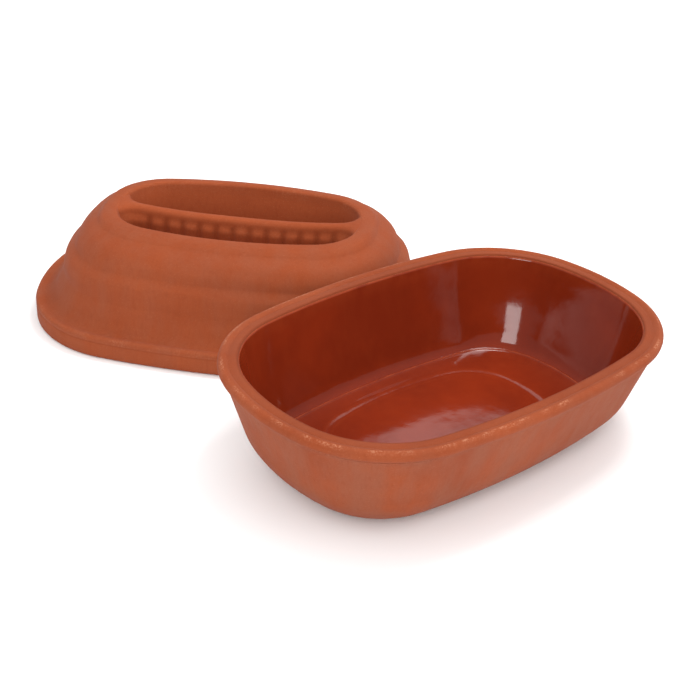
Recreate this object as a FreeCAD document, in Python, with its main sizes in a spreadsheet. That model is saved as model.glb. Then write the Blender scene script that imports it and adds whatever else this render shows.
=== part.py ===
"""Covered clay casserole: an open dish with a glazed lining, and its lid lying beside it.

Millimetres. The origin is the centre of the dish's foot on the table, +X runs along the
dish's long side and +Z is up. The lid stands on its own rim, turned and close behind the
dish, the way it is put down when the dish is open.
"""
import math
import os

import FreeCAD
import Part
import Sketcher
from FreeCAD import Placement, Rotation, Vector

# Every driving size: the sheet holds them, and sketches and features read them from it.
SIZES = {
    # plan outline of the dish's rim, measured over its bead
    "rim_length": 370.0,
    "rim_width": 246.0,
    "side_radius": 675.0,
    "end_radius": 184.0,
    "corner_radius": 97.5,
    # cross-section of the dish
    "dish_height": 93.0,
    "bead_radius": 4.6,
    "bead_wrap": 75.0,
    "land_drop": 0.8,
    "land_start": 8.6,
    "land_end": 15.9,
    "foot_inset": 69.5,
    "foot_radius": 52.7,
    "ledge_inset": 45.0,
    "ledge_height": 12.6,
    "ledge_slope": 14.0,
    "ledge_step": 1.0,
    "cove_radius": 18.0,
    "base_thickness": 10.4,
    # the sunk panel in the floor
    "panel_length": 196.0,
    "panel_width": 122.0,
    "panel_side_radius": 300.0,
    "panel_end_radius": 110.0,
    "panel_corner_radius": 46.0,
    "panel_depth": 1.0,
    # glaze
    "glaze_thickness": 0.5,
    # lid
    "lid_overhang": 1.5,
    "lid_height": 100.0,
    "flange_height": 21.0,
    "flange_rounding": 3.2,
    "seat_width": 15.5,
    "lid_wall": 8.5,
    "crown_thickness": 9.0,
    "crown_drop": 5.0,
    "valley_low": 17.5,
    "valley_middle": 25.0,
    "valley_high": 45.0,
    "sweep_depth": 5.0,
    "ring_low_bulge": 2.3,
    "ring_high_bulge": 4.6,
    # grip: the opening in the crown, its two finger hollows and the bar between them
    "opening_length": 217.0,
    "opening_width": 120.0,
    "opening_side_radius": 324.0,
    "opening_end_radius": 143.0,
    "opening_corner_radius": 43.0,
    "crown_inset": 5.0,
    "opening_rounding": 3.5,
    "hollow_depth": 38.0,
    "hollow_taper": 8.0,
    "hollow_rounding": 5.0,
    "bar_width": 16.0,
    "bar_drop": 6.0,
    "flute_radius": 6.0,
    "flute_depth": 1.6,
    "flute_pitch": 15.6,
    # where the lid stands: along the dish, turned, and how near to the dish's belly
    "lid_x": -8.5,
    "lid_turn": -47.3,
    "lid_gap": 0.515,
}

# Sizes that follow from the driving ones, each a formula over the cells above it.
FORMULAS = {
    # centre of the rim outline's corner arc, from the centres of its end and side arcs
    "end_centre_x": "rim_length / 2 - end_radius",
    "side_centre_y": "rim_width / 2 - side_radius",
    "centres_apart": "hypot(end_centre_x; side_centre_y)",
    "corner_along": "((side_radius - corner_radius)^2 - (end_radius - corner_radius)^2"
    " + centres_apart^2) / (2 * centres_apart)",
    "corner_across": "sqrt((side_radius - corner_radius)^2 - corner_along^2)",
    "corner_x": "(corner_along * end_centre_x - corner_across * side_centre_y) / centres_apart",
    "corner_y": "side_centre_y"
    " - (corner_along * side_centre_y + corner_across * end_centre_x) / centres_apart",
    # how high the flange is widest, and how far apart the middles of its rounding and of the
    # belly's arc lie across, with the gap between the two arcs
    "meeting_height": "flange_height - flange_rounding",
    "section_reach": "sqrt((foot_radius + flange_rounding + lid_gap)^2"
    " - (foot_radius - meeting_height)^2)",
    # the lid's corner arc that is nearest to the dish, against the arc of the dish's side
    "nearest_x": "lid_x + corner_x * cos(lid_turn * 1 deg) + corner_y * sin(lid_turn * 1 deg)",
    "nearest_drop": "corner_y * cos(lid_turn * 1 deg) - corner_x * sin(lid_turn * 1 deg)",
    "arcs_apart": "side_radius - foot_inset + section_reach"
    " + corner_radius + lid_overhang - flange_rounding",
    "lid_y": "side_centre_y + sqrt(arcs_apart^2 - nearest_x^2) + nearest_drop",
}

# Shares of the way up a ring at which the dome is drawn, the last one on its valley.
RING_SHARES = (0.2, 0.45, 0.72, 1.0)
RING_COUNT = 3
# Share of the top ring at which the inside of the dome ends under the crown.
CROWN_SHARE = 0.84
FLUTE_COUNT = 13

document = FreeCAD.newDocument("covered_casserole")
sheet = document.addObject("Spreadsheet::Sheet", "Sizes")


def fill_sheet():
    """Write each size and each formula into the sheet, with its alias."""
    cells = {alias: str(value) for alias, value in SIZES.items()}
    cells.update({alias: f"={formula}" for alias, formula in FORMULAS.items()})
    for row, (alias, text) in enumerate(cells.items(), start=1):
        sheet.set(f"A{row}", alias)
        sheet.setAlias(f"B{row}", alias)
        sheet.set(f"B{row}", text)
    document.recompute()


def value_of(expression):
    """Number that an expression over the sheet comes to, in mm or degrees."""
    result = sheet.evalExpression(expression)
    return float(getattr(result, "Value", result))


def size(alias):
    """Expression text that names one size of the sheet."""
    return f"Sizes.{alias}"


# ---------------------------------------------------------------- plan outlines


class Outline:
    """Rounded oval of eight tangent arcs, each size an expression over the sheet."""

    def __init__(self, length, width, side_radius, end_radius, corner_radius):
        self.half_length = f"({length}) / 2"
        self.half_width = f"({width}) / 2"
        self.side_radius = side_radius
        self.end_radius = end_radius
        self.corner_radius = corner_radius

    def inset(self, distance):
        """The outline moved inwards by the same distance everywhere."""
        moved = Outline("0", "0", "0", "0", "0")
        moved.half_length = f"{self.half_length} - ({distance})"
        moved.half_width = f"{self.half_width} - ({distance})"
        moved.side_radius = f"{self.side_radius} - ({distance})"
        moved.end_radius = f"{self.end_radius} - ({distance})"
        moved.corner_radius = f"{self.corner_radius} - ({distance})"
        return moved

    def towards(self, other, share):
        """The outline between this one and another, at a share of the way."""
        mixed = Outline("0", "0", "0", "0", "0")
        for name in ("half_length", "half_width", "side_radius", "end_radius", "corner_radius"):
            start = getattr(self, name)
            end = getattr(other, name)
            setattr(mixed, name, f"({start}) + (({end}) - ({start})) * ({share})")
        return mixed

    def arcs(self):
        """Centre, radius and two angles of each arc, counter-clockwise from the +X end."""
        half_length = value_of(self.half_length)
        half_width = value_of(self.half_width)
        side = value_of(self.side_radius)
        end = value_of(self.end_radius)
        corner = value_of(self.corner_radius)
        end_x = half_length - end
        side_y = half_width - side
        # the corner's centre lies (side - corner) from one centre and (end - corner) from the other
        apart = math.hypot(end_x, side_y)
        to_side = side - corner
        to_end = end - corner
        along = (to_side**2 - to_end**2 + apart**2) / (2 * apart)
        across = math.sqrt(to_side**2 - along**2)
        unit_x = end_x / apart
        unit_y = -side_y / apart
        corner_x = along * unit_x + across * unit_y
        corner_y = side_y + along * unit_y - across * unit_x
        low = math.atan2(corner_y, corner_x - end_x)
        high = math.atan2(corner_y - side_y, corner_x)
        pi = math.pi
        return [
            (end_x, 0, end, -low, low),
            (corner_x, corner_y, corner, low, high),
            (0, side_y, side, high, pi - high),
            (-corner_x, corner_y, corner, pi - high, pi - low),
            (-end_x, 0, end, pi - low, pi + low),
            (-corner_x, -corner_y, corner, pi + low, pi + high),
            (0, -side_y, side, pi + high, 2 * pi - high),
            (corner_x, -corner_y, corner, 2 * pi - high, 2 * pi - low),
        ]


RIM = Outline(
    size("rim_length"),
    size("rim_width"),
    size("side_radius"),
    size("end_radius"),
    size("corner_radius"),
)
PANEL = Outline(
    size("panel_length"),
    size("panel_width"),
    size("panel_side_radius"),
    size("panel_end_radius"),
    size("panel_corner_radius"),
)
OPENING = Outline(
    size("opening_length"),
    size("opening_width"),
    size("opening_side_radius"),
    size("opening_end_radius"),
    size("opening_corner_radius"),
)
FLANGE = RIM.inset(f"-{size('lid_overhang')}")


# ---------------------------------------------------------------- sketch helpers


def new_body(label):
    """Empty PartDesign body with its own label."""
    body = document.addObject("PartDesign::Body", label + "_body")
    body.Label = label
    return body


def new_sketch(body, name, plane, height="0 mm"):
    """Sketch on one of the body's origin planes, raised by an expression."""
    sketch = body.newObject("Sketcher::SketchObject", name)
    origin_plane = next(item for item in body.Origin.OriginFeatures if item.Role == plane)
    sketch.AttachmentSupport = [(origin_plane, "")]
    sketch.MapMode = "FlatFace"
    sketch.setExpression("AttachmentOffset.Base.z", height)
    return sketch


def bind(sketch, constraint, expression):
    """Add a dimension to the sketch and tie it to an expression over the sheet."""
    index = sketch.addConstraint(constraint)
    sketch.setExpression(f"Constraints[{index}]", expression)


def draw_outline(sketch, outline):
    """Draw an oval of eight tangent arcs and tie its five sizes to the sheet."""
    for centre_x, centre_y, radius, start, end in outline.arcs():
        circle = Part.Circle(Vector(centre_x, centre_y, 0), Vector(0, 0, 1), radius)
        sketch.addGeometry(Part.ArcOfCircle(circle, start, end), False)
    radii = ((0, outline.end_radius), (2, outline.side_radius), (1, outline.corner_radius))
    for arc in range(8):
        sketch.addConstraint(Sketcher.Constraint("Tangent", arc, 2, (arc + 1) % 8, 1))
    half_length = value_of(outline.half_length)
    half_width = value_of(outline.half_width)
    marks = [(half_length, 0), (0, half_width), (-half_length, 0), (0, -half_width)]
    for quarter, (mark_x, mark_y) in enumerate(marks):
        arc = 2 * quarter
        on_x_axis = quarter % 2 == 0
        axis = -1 if on_x_axis else -2
        mark = sketch.addGeometry(Part.Point(Vector(mark_x, mark_y, 0)), True)
        sketch.addConstraint(Sketcher.Constraint("PointOnObject", arc, 3, axis))
        sketch.addConstraint(Sketcher.Constraint("PointOnObject", mark, 1, axis))
        sketch.addConstraint(Sketcher.Constraint("PointOnObject", mark, 1, arc))
        kind = "DistanceX" if on_x_axis else "DistanceY"
        reach = half_length if on_x_axis else half_width
        expression = outline.half_length if on_x_axis else outline.half_width
        first, second = ((-1, 1), (mark, 1)) if quarter < 2 else ((mark, 1), (-1, 1))
        bind(sketch, Sketcher.Constraint(kind, *first, *second, reach), expression)
    for first, second in ((0, 4), (2, 6), (1, 3), (3, 5), (5, 7)):
        sketch.addConstraint(Sketcher.Constraint("Equal", first, second))
    for arc, expression in radii:
        bind(sketch, Sketcher.Constraint("Radius", arc, value_of(expression)), expression)


def outline_sketch(body, name, outline, height="0 mm"):
    """Horizontal sketch of one outline at a height."""
    sketch = new_sketch(body, name, "XY_Plane", height)
    draw_outline(sketch, outline)
    return sketch


# ---------------------------------------------------------------- dish

RIM_REACH = f"{size('rim_length')} / 2"
LAND_HEIGHT = f"{size('dish_height')} - {size('land_drop')}"
BASE_TOP = size("base_thickness")
# The wall's section runs this far in past the foot's edge, and the base starts halfway along.
SECTION_OVERRUN = 5.0
SECTION_END = f"{size('foot_inset')} + {SECTION_OVERRUN}"
FLOOR_JOIN = f"{size('foot_inset')} + {SECTION_OVERRUN / 2}"
# How far the ledge's small step runs inwards, and how much of it the glaze fills per millimetre.
STEP_RUN = 0.6


class WallSection:
    """Closed section of the dish's wall or of its glaze, drawn upright at the +X end."""

    def __init__(self, body, name):
        self.sketch = new_sketch(body, name, "XZ_Plane")

    def point(self, inset, height):
        """Point of the section from an inset off the bead and a height."""
        return Vector(value_of(f"{RIM_REACH} - ({inset})"), value_of(height), 0)

    def tie(self, element, end, inset, height):
        """Tie an end or a centre of an element to its inset and, if given, its height."""
        reach = f"{RIM_REACH} - ({inset})"
        across = Sketcher.Constraint("DistanceX", -1, 1, element, end, value_of(reach))
        bind(self.sketch, across, reach)
        if height is not None:
            upwards = Sketcher.Constraint("DistanceY", -1, 1, element, end, value_of(height))
            bind(self.sketch, upwards, height)

    def line(self, start, end):
        """Add a straight edge and return its index."""
        return self.sketch.addGeometry(Part.LineSegment(start, end), False)

    def arc(self, centre, start, end, radius):
        """Add a counter-clockwise arc, tie its radius and return its index."""
        reach = value_of(radius)
        first = math.atan2(start.y - centre.y, start.x - centre.x)
        last = math.atan2(end.y - centre.y, end.x - centre.x)
        circle = Part.Circle(centre, Vector(0, 0, 1), reach)
        index = self.sketch.addGeometry(Part.ArcOfCircle(circle, first, last), False)
        bind(self.sketch, Sketcher.Constraint("Radius", index, reach), radius)
        return index

    def join(self, first, first_end, second, second_end):
        """Make two ends meet."""
        ends = (first, first_end, second, second_end)
        self.sketch.addConstraint(Sketcher.Constraint("Coincident", *ends))

    def smooth(self, first, first_end, second, second_end):
        """Make two ends meet with no corner."""
        ends = (first, first_end, second, second_end)
        self.sketch.addConstraint(Sketcher.Constraint("Tangent", *ends))

    def chain(self, points):
        """Add straight edges through points and return the index of the first."""
        edges = [self.line(start, end) for start, end in zip(points, points[1:])]
        for first, second in zip(edges, edges[1:]):
            self.join(first, 2, second, 1)
        return edges[0]


def touch_point(point, centre, radius):
    """Where a line down from a point touches the outer side of a circle below it."""
    away = point - centre
    spread = math.acos(radius / away.Length)
    angle = math.atan2(away.y, away.x) - spread
    return centre + Vector(math.cos(angle), math.sin(angle), 0) * radius


def cove_inset_and_height():
    """Centre of the cove between wall and floor: its inset and its height."""
    slope = f"{size('ledge_slope')} * 1 deg"
    inset = f"{size('ledge_inset')} + {size('cove_radius')} * sin({slope})"
    height = f"{size('ledge_height')} + {size('cove_radius')} * cos({slope})"
    return inset, height


def draw_inner_face(section, skin):
    """Draw the inside of the wall, from the land down the cove to the floor's flat.

    skin is how far the face stands off the clay: nothing for the clay itself, the glaze's
    thickness for the glaze. Returns the wall's edge and the last edge of the floor.
    """
    centre_inset, centre_height = cove_inset_and_height()
    radius = f"{size('cove_radius')} - ({skin})"
    centre = section.point(centre_inset, centre_height)
    lip = section.point(f"{size('land_end')} + ({skin})", LAND_HEIGHT)
    touch = touch_point(lip, centre, value_of(radius))
    ledge_inset = f"{size('ledge_inset')} + {STEP_RUN} * ({skin})"
    reach = value_of(f"{centre_inset} - ({ledge_inset})")
    drop = math.sqrt(value_of(radius) ** 2 - reach**2)
    ledge = centre + Vector(reach, -drop, 0)
    step_height = f"{size('ledge_height')} - {size('ledge_step')} + ({skin})"
    step = (f"{ledge_inset} + {STEP_RUN}", step_height)
    flat = (size("foot_inset"), f"{BASE_TOP} + ({skin})")
    end = (SECTION_END, f"{BASE_TOP} + ({skin})")

    wall = section.line(lip, touch)
    cove = section.arc(centre, ledge, touch, radius)
    section.smooth(cove, 2, wall, 2)
    section.tie(wall, 1, f"{size('land_end')} + ({skin})", LAND_HEIGHT)
    section.tie(cove, 3, centre_inset, centre_height)
    section.tie(cove, 1, ledge_inset, None)
    first = section.chain([ledge, section.point(*step), section.point(*flat), section.point(*end)])
    section.join(cove, 1, first, 1)
    for offset, (inset, height) in enumerate((step, flat, end)):
        section.tie(first + offset, 2, inset, height)
    return wall, first + 2


def draw_clay_section(body):
    """Section of the dish's clay: foot, belly, bead, land, inner wall and floor."""
    section = WallSection(body, "wall_section")
    bead_inset = size("bead_radius")
    bead_height = f"{size('dish_height')} - {size('bead_radius')}"
    wrap = f"{size('bead_wrap')} * 1 deg"
    crease_inset = f"{bead_inset} - {size('bead_radius')} * cos({wrap})"
    crease_height = f"{bead_height} - {size('bead_radius')} * sin({wrap})"
    foot_centre = section.point(size("foot_inset"), size("foot_radius"))
    foot_edge = section.point(size("foot_inset"), "0")
    crease = section.point(crease_inset, crease_height)
    crest = section.point(bead_inset, size("dish_height"))
    touch = touch_point(crease, foot_centre, value_of(size("foot_radius")))

    base = section.line(section.point(SECTION_END, "0"), foot_edge)
    foot = section.arc(foot_centre, foot_edge, touch, size("foot_radius"))
    belly = section.line(touch, crease)
    bead = section.arc(section.point(bead_inset, bead_height), crease, crest, size("bead_radius"))
    land_start = section.point(size("land_start"), LAND_HEIGHT)
    land = section.chain([crest, land_start, section.point(size("land_end"), LAND_HEIGHT)])
    wall, floor = draw_inner_face(section, "0")
    closing = section.line(section.point(SECTION_END, BASE_TOP), section.point(SECTION_END, "0"))

    section.smooth(base, 2, foot, 1)
    section.smooth(foot, 2, belly, 1)
    section.join(belly, 2, bead, 1)
    section.join(bead, 2, land, 1)
    section.join(land + 1, 2, wall, 1)
    section.join(floor, 2, closing, 1)
    section.join(closing, 2, base, 1)
    section.tie(base, 1, SECTION_END, "0")
    section.tie(base, 2, size("foot_inset"), "0")
    section.tie(bead, 1, crease_inset, crease_height)
    section.tie(bead, 2, bead_inset, size("dish_height"))
    section.tie(land, 2, size("land_start"), LAND_HEIGHT)
    return section.sketch


def draw_glaze_section(body):
    """Section of the glaze: the clay's inner face, and the same face one coat further in."""
    section = WallSection(body, "glaze_section")
    coat = size("glaze_thickness")
    clay_wall, clay_floor = draw_inner_face(section, "0")
    coat_wall, coat_floor = draw_inner_face(section, coat)
    lip = section.line(
        section.point(size("land_end"), LAND_HEIGHT),
        section.point(f"{size('land_end')} + {coat}", LAND_HEIGHT),
    )
    end = section.line(
        section.point(SECTION_END, BASE_TOP), section.point(SECTION_END, f"{BASE_TOP} + {coat}")
    )
    section.join(lip, 1, clay_wall, 1)
    section.join(lip, 2, coat_wall, 1)
    section.join(end, 1, clay_floor, 2)
    section.join(end, 2, coat_floor, 2)
    return section.sketch


def sweep_round_rim(body, name, section):
    """Carry a wall section once round the rim's outline."""
    spine = outline_sketch(body, name + "_spine", RIM)
    document.recompute()
    pipe = body.newObject("PartDesign::AdditivePipe", name)
    pipe.Profile = section
    pipe.Spine = (spine, [f"Edge{number}" for number in range(1, 9)])
    document.recompute()
    return pipe


def pad(body, name, sketch, length):
    """Raise a sketch by an expression."""
    feature = body.newObject("PartDesign::Pad", name)
    feature.Profile = sketch
    feature.setExpression("Length", length)
    document.recompute()
    return feature


def pocket(body, name, sketch, length):
    """Sink a sketch by an expression and make sure that it removed clay."""
    before = body.Tip.Shape.Volume
    feature = body.newObject("PartDesign::Pocket", name)
    feature.Profile = sketch
    feature.setExpression("Length", length)
    document.recompute()
    if feature.Shape.Volume >= before:
        raise RuntimeError(f"{name} removed nothing")
    return feature


def build_dish():
    """Clay dish: the swept wall, the base inside it and the panel sunk in the floor."""
    body = new_body("dish")
    sweep_round_rim(body, "wall", draw_clay_section(body))
    base = outline_sketch(body, "base_outline", RIM.inset(FLOOR_JOIN))
    pad(body, "base", base, BASE_TOP)
    panel = outline_sketch(body, "panel_outline", PANEL, BASE_TOP)
    pocket(body, "panel", panel, size("panel_depth"))
    return body


def build_glaze():
    """Fired glaze: a thin coat over the whole inside of the dish, up to the land."""
    body = new_body("dish_glaze")
    coat = size("glaze_thickness")
    sweep_round_rim(body, "wall_coat", draw_glaze_section(body))
    floor = outline_sketch(body, "floor_outline", RIM.inset(FLOOR_JOIN), BASE_TOP)
    pad(body, "floor_coat", floor, coat)
    panel_bottom = f"{BASE_TOP} - {size('panel_depth')}"
    plug = outline_sketch(body, "panel_outline_glaze", PANEL, panel_bottom)
    pad(body, "panel_coat", plug, f"{size('panel_depth')} + {coat}")
    hollow = outline_sketch(body, "panel_hollow_outline", PANEL.inset(coat), f"{BASE_TOP} + {coat}")
    pocket(body, "panel_hollow", hollow, size("panel_depth"))
    return body


# ---------------------------------------------------------------- lid

# How far the opening's edge lies in from the flange, along the lid's short side.
CROWN_SPAN = f"({size('rim_width')} / 2 + {size('lid_overhang')} - {size('opening_width')} / 2)"
TOP_VALLEY = f"{size('lid_height')} - {size('crown_drop')}"
RING_PITCH = f"({TOP_VALLEY} - {size('flange_height')}) / {RING_COUNT}"
# Each ring runs up from one valley to the next: insets at its ends, and how far it swells out.
RINGS = (
    (size("flange_rounding"), size("valley_low"), f"-1 * {size('sweep_depth')}"),
    (size("valley_low"), size("valley_middle"), size("ring_low_bulge")),
    (size("valley_middle"), size("valley_high"), size("ring_high_bulge")),
)
# The crown swells up between its valley and its lip: drawn at this share of the crown's drop.
CROWN_SWELL = 0.3
# The tub's top stays this far under the crown, and the bar runs this far into the tub below
# its hollow and stops this far short of the tub's outside.
TUB_SINK = 1.5
BAR_ROOT = 2.0
BAR_STOP = 0.3


def lid_outline(inset):
    """Outline of the lid's outside at a given inset along its short side."""
    return FLANGE.towards(OPENING, f"({inset}) / {CROWN_SPAN}")


def ring_station(ring, share):
    """Height and inset of the lid's outside at a share of the way up one ring."""
    low, high, bulge = RINGS[ring]
    height = f"{size('flange_height')} + {RING_PITCH} * {ring + share}"
    swell = round(math.sin(math.pi * share), 4)
    inset = f"{low} + ({high} - {low}) * {share} - ({bulge}) * {swell}"
    return height, inset


def outer_stations():
    """Heights and insets of the lid's outside, from inside the flange to the crown's lip."""
    first_height, first_inset = ring_station(0, RING_SHARES[0])
    stations = [(f"{size('flange_height')} / 2", first_inset), (first_height, first_inset)]
    for ring in range(RING_COUNT):
        shares = RING_SHARES[1:] if ring == 0 else RING_SHARES
        stations += [ring_station(ring, share) for share in shares]
    lip_inset = f"{CROWN_SPAN} - {size('crown_inset')}"
    middle = f"({size('valley_high')} + {lip_inset}) / 2"
    stations.append((f"{size('lid_height')} - {size('crown_drop')} * {CROWN_SWELL}", middle))
    stations.append((size("lid_height"), lip_inset))
    return stations


def inner_stations():
    """Heights and outlines of the lid's inside, from its seat to the underside of the crown."""
    seat = FLANGE.inset(size("seat_width"))
    stations = [("0", seat), (size("flange_height"), seat)]
    for ring, share in ((0, 0.45), (0, 1.0), (1, 1.0), (2, 0.45)):
        height, inset = ring_station(ring, share)
        stations.append((height, lid_outline(inset).inset(size("lid_wall"))))
    crown_inset = ring_station(2, CROWN_SHARE)[1]
    underside = f"{size('lid_height')} - {size('crown_thickness')}"
    stations.append((underside, lid_outline(crown_inset).inset(size("lid_wall"))))
    return stations


def loft(body, kind, name, stations):
    """Loft through outlines at their heights."""
    sketches = [
        outline_sketch(body, f"{name}_{number}", outline, height)
        for number, (height, outline) in enumerate(stations)
    ]
    document.recompute()
    feature = body.newObject(f"PartDesign::{kind}", name)
    feature.Profile = sketches[0]
    feature.Sections = sketches[1:]
    document.recompute()
    return feature


def edges_at(shape, height, longest_reach):
    """Names of the edges that lie level at a height and within a reach of the middle."""
    names = []
    for number, edge in enumerate(shape.Edges, start=1):
        box = edge.BoundBox
        level = abs(box.ZMin - height) < 0.01 and abs(box.ZMax - height) < 0.01
        if level and max(abs(box.XMin), abs(box.XMax)) < longest_reach + 0.01:
            names.append(f"Edge{number}")
    return names


def fillet(body, name, base, edges, radius):
    """Round edges of a feature by an expression."""
    feature = body.newObject("PartDesign::Fillet", name)
    feature.Base = (base, edges)
    feature.setExpression("Radius", radius)
    document.recompute()
    return feature


def draw_bar_section(body):
    """Upright section of the grip bar: straight sides and a half-round top."""
    sketch = new_sketch(body, "bar_section", "YZ_Plane")
    half = value_of(f"{size('bar_width')} / 2")
    bottom_text = f"{size('lid_height')} - {size('hollow_depth')} - {BAR_ROOT}"
    shoulder_text = f"{size('lid_height')} - {size('bar_drop')} - {size('bar_width')} / 2"
    bottom = value_of(bottom_text)
    shoulder = value_of(shoulder_text)
    corners = [
        Vector(half, shoulder, 0),
        Vector(half, bottom, 0),
        Vector(-half, bottom, 0),
        Vector(-half, shoulder, 0),
    ]
    for start, end in zip(corners, corners[1:]):
        sketch.addGeometry(Part.LineSegment(start, end), False)
    top = Part.Circle(Vector(0, shoulder, 0), Vector(0, 0, 1), half)
    sketch.addGeometry(Part.ArcOfCircle(top, 0, math.pi), False)
    sketch.addConstraint(Sketcher.Constraint("Coincident", 0, 2, 1, 1))
    sketch.addConstraint(Sketcher.Constraint("Coincident", 1, 2, 2, 1))
    sketch.addConstraint(Sketcher.Constraint("Tangent", 3, 1, 0, 1))
    sketch.addConstraint(Sketcher.Constraint("Tangent", 3, 2, 2, 2))
    sketch.addConstraint(Sketcher.Constraint("Horizontal", 1))
    sketch.addConstraint(Sketcher.Constraint("Vertical", 0))
    sketch.addConstraint(Sketcher.Constraint("PointOnObject", 3, 3, -2))
    bind(sketch, Sketcher.Constraint("Radius", 3, half), f"{size('bar_width')} / 2")
    bind(sketch, Sketcher.Constraint("DistanceY", -1, 1, 3, 3, shoulder), shoulder_text)
    bind(sketch, Sketcher.Constraint("DistanceY", -1, 1, 0, 2, bottom), bottom_text)
    return sketch


def draw_flute_pair(body, height):
    """First flute of each side of the bar: circles that bite into its faces."""
    sketch = new_sketch(body, "flute_pair", "XY_Plane", height)
    first = f"{size('flute_pitch')} * {(FLUTE_COUNT - 1) / 2}"
    off_axis = f"{size('bar_width')} / 2 + {size('flute_radius')} - {size('flute_depth')}"
    radius = value_of(size("flute_radius"))
    for side in (1, -1):
        centre = Vector(-value_of(first), side * value_of(off_axis), 0)
        circle = sketch.addGeometry(Part.Circle(centre, Vector(0, 0, 1), radius), False)
        bind(sketch, Sketcher.Constraint("Radius", circle, radius), size("flute_radius"))
        bind(sketch, Sketcher.Constraint("DistanceX", circle, 3, -1, 1, value_of(first)), first)
        ends = (-1, 1, circle, 3) if side > 0 else (circle, 3, -1, 1)
        bind(sketch, Sketcher.Constraint("DistanceY", *ends, value_of(off_axis)), off_axis)
    return sketch


def build_shell(body):
    """Flange, ringed dome and its inside."""
    flange = pad(body, "flange", outline_sketch(body, "flange_outline", FLANGE), size("flange_height"))
    reach = value_of(FLANGE.half_length)
    rims = edges_at(flange.Shape, 0, reach)
    rims += edges_at(flange.Shape, value_of(size("flange_height")), reach)
    fillet(body, "flange_edges", flange, rims, size("flange_rounding"))
    outside = [(height, lid_outline(inset)) for height, inset in outer_stations()]
    loft(body, "AdditiveLoft", "dome", outside)
    loft(body, "SubtractiveLoft", "dome_inside", inner_stations())


def build_grip(body):
    """Tub below the opening, the hollow in it with its roundings, and the fluted bar."""
    wall = size("lid_wall")
    taper = size("hollow_taper")
    floor = f"{size('lid_height')} - {size('hollow_depth')}"
    tub_bottom = (f"{floor} - {wall}", OPENING.inset(f"{taper} - {wall}"))
    tub_top = (f"{size('lid_height')} - {TUB_SINK}", OPENING.inset(f"-1 * {size('crown_inset')}"))
    loft(body, "AdditiveLoft", "tub", [tub_bottom, tub_top])
    hollow_floor = (floor, OPENING.inset(taper))
    hollow = loft(body, "SubtractiveLoft", "hollow", [hollow_floor, (size("lid_height"), OPENING)])
    reach = value_of(OPENING.half_length)
    floor_edges = edges_at(hollow.Shape, value_of(floor), reach)
    bottom = fillet(body, "hollow_floor_edges", hollow, floor_edges, size("hollow_rounding"))
    lip_edges = edges_at(bottom.Shape, value_of(size("lid_height")), reach)
    fillet(body, "lip_edges", bottom, lip_edges, size("opening_rounding"))

    bar_reach = f"{OPENING.half_length} + {wall} - {taper} - {BAR_STOP}"
    bar = body.newObject("PartDesign::Pad", "bar")
    bar.Profile = draw_bar_section(body)
    bar.Midplane = True
    bar.setExpression("Length", f"2 * ({bar_reach})")
    document.recompute()

    bar_top = f"{size('lid_height')} - {size('bar_drop')}"
    depth = f"{size('hollow_depth')} - {size('bar_drop')} - {size('hollow_rounding')}"
    flutes = draw_flute_pair(body, bar_top)
    first = pocket(body, "flute", flutes, depth)
    pattern = body.newObject("PartDesign::LinearPattern", "flutes")
    pattern.Originals = [first]
    pattern.Direction = (flutes, ["H_Axis"])
    pattern.setExpression("Length", f"{size('flute_pitch')} * {FLUTE_COUNT - 1}")
    pattern.Occurrences = FLUTE_COUNT
    body.Tip = pattern
    document.recompute()


def build_lid():
    """Clay lid, built upright over the origin and then put beside the dish."""
    body = new_body("lid")
    build_shell(body)
    build_grip(body)
    body.Placement = Placement(Vector(0, 0, 0), Rotation(Vector(0, 0, 1), SIZES["lid_turn"]))
    body.setExpression("Placement.Base.x", size("lid_x"))
    body.setExpression("Placement.Base.y", size("lid_y"))
    body.setExpression("Placement.Rotation.Angle", size("lid_turn"))
    return body


# ---------------------------------------------------------------- build and export


def check_document():
    """Stop if any object of the document failed to recompute."""
    for item in document.Objects:
        if "Invalid" in item.State or "Error" in item.State:
            raise RuntimeError(f"{item.Label} failed: {item.State}")


def export(bodies):
    """Write one STEP file for each sub-part, after checking its solid."""
    os.makedirs("parts", exist_ok=True)
    for body in bodies:
        shape = body.Shape
        if shape.isNull() or not shape.isValid():
            raise RuntimeError(f"{body.Label} has no valid shape")
        shape.exportStep(f"parts/{body.Label}.step")


fill_sheet()
dish = build_dish()
glaze = build_glaze()
lid = build_lid()
document.recompute()
check_document()
export([dish, glaze, lid])
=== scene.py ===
"""Covered clay casserole: an open dish with a glazed lining, and its ribbed lid beside it.

Sizes are in millimetres and are turned into metres as vertices are placed, except in the
finishes and the room, which are in metres. The dish and the lid are drawn as rounded ovals
stacked along a section, so each keeps the outline and the place of its solid in the frame.
"""

import logging
import math
from collections.abc import Callable, Sequence
from dataclasses import astuple, dataclass, replace
from enum import Enum
from typing import NamedTuple

import bmesh
import bpy
from mathutils import Matrix, Vector


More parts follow.
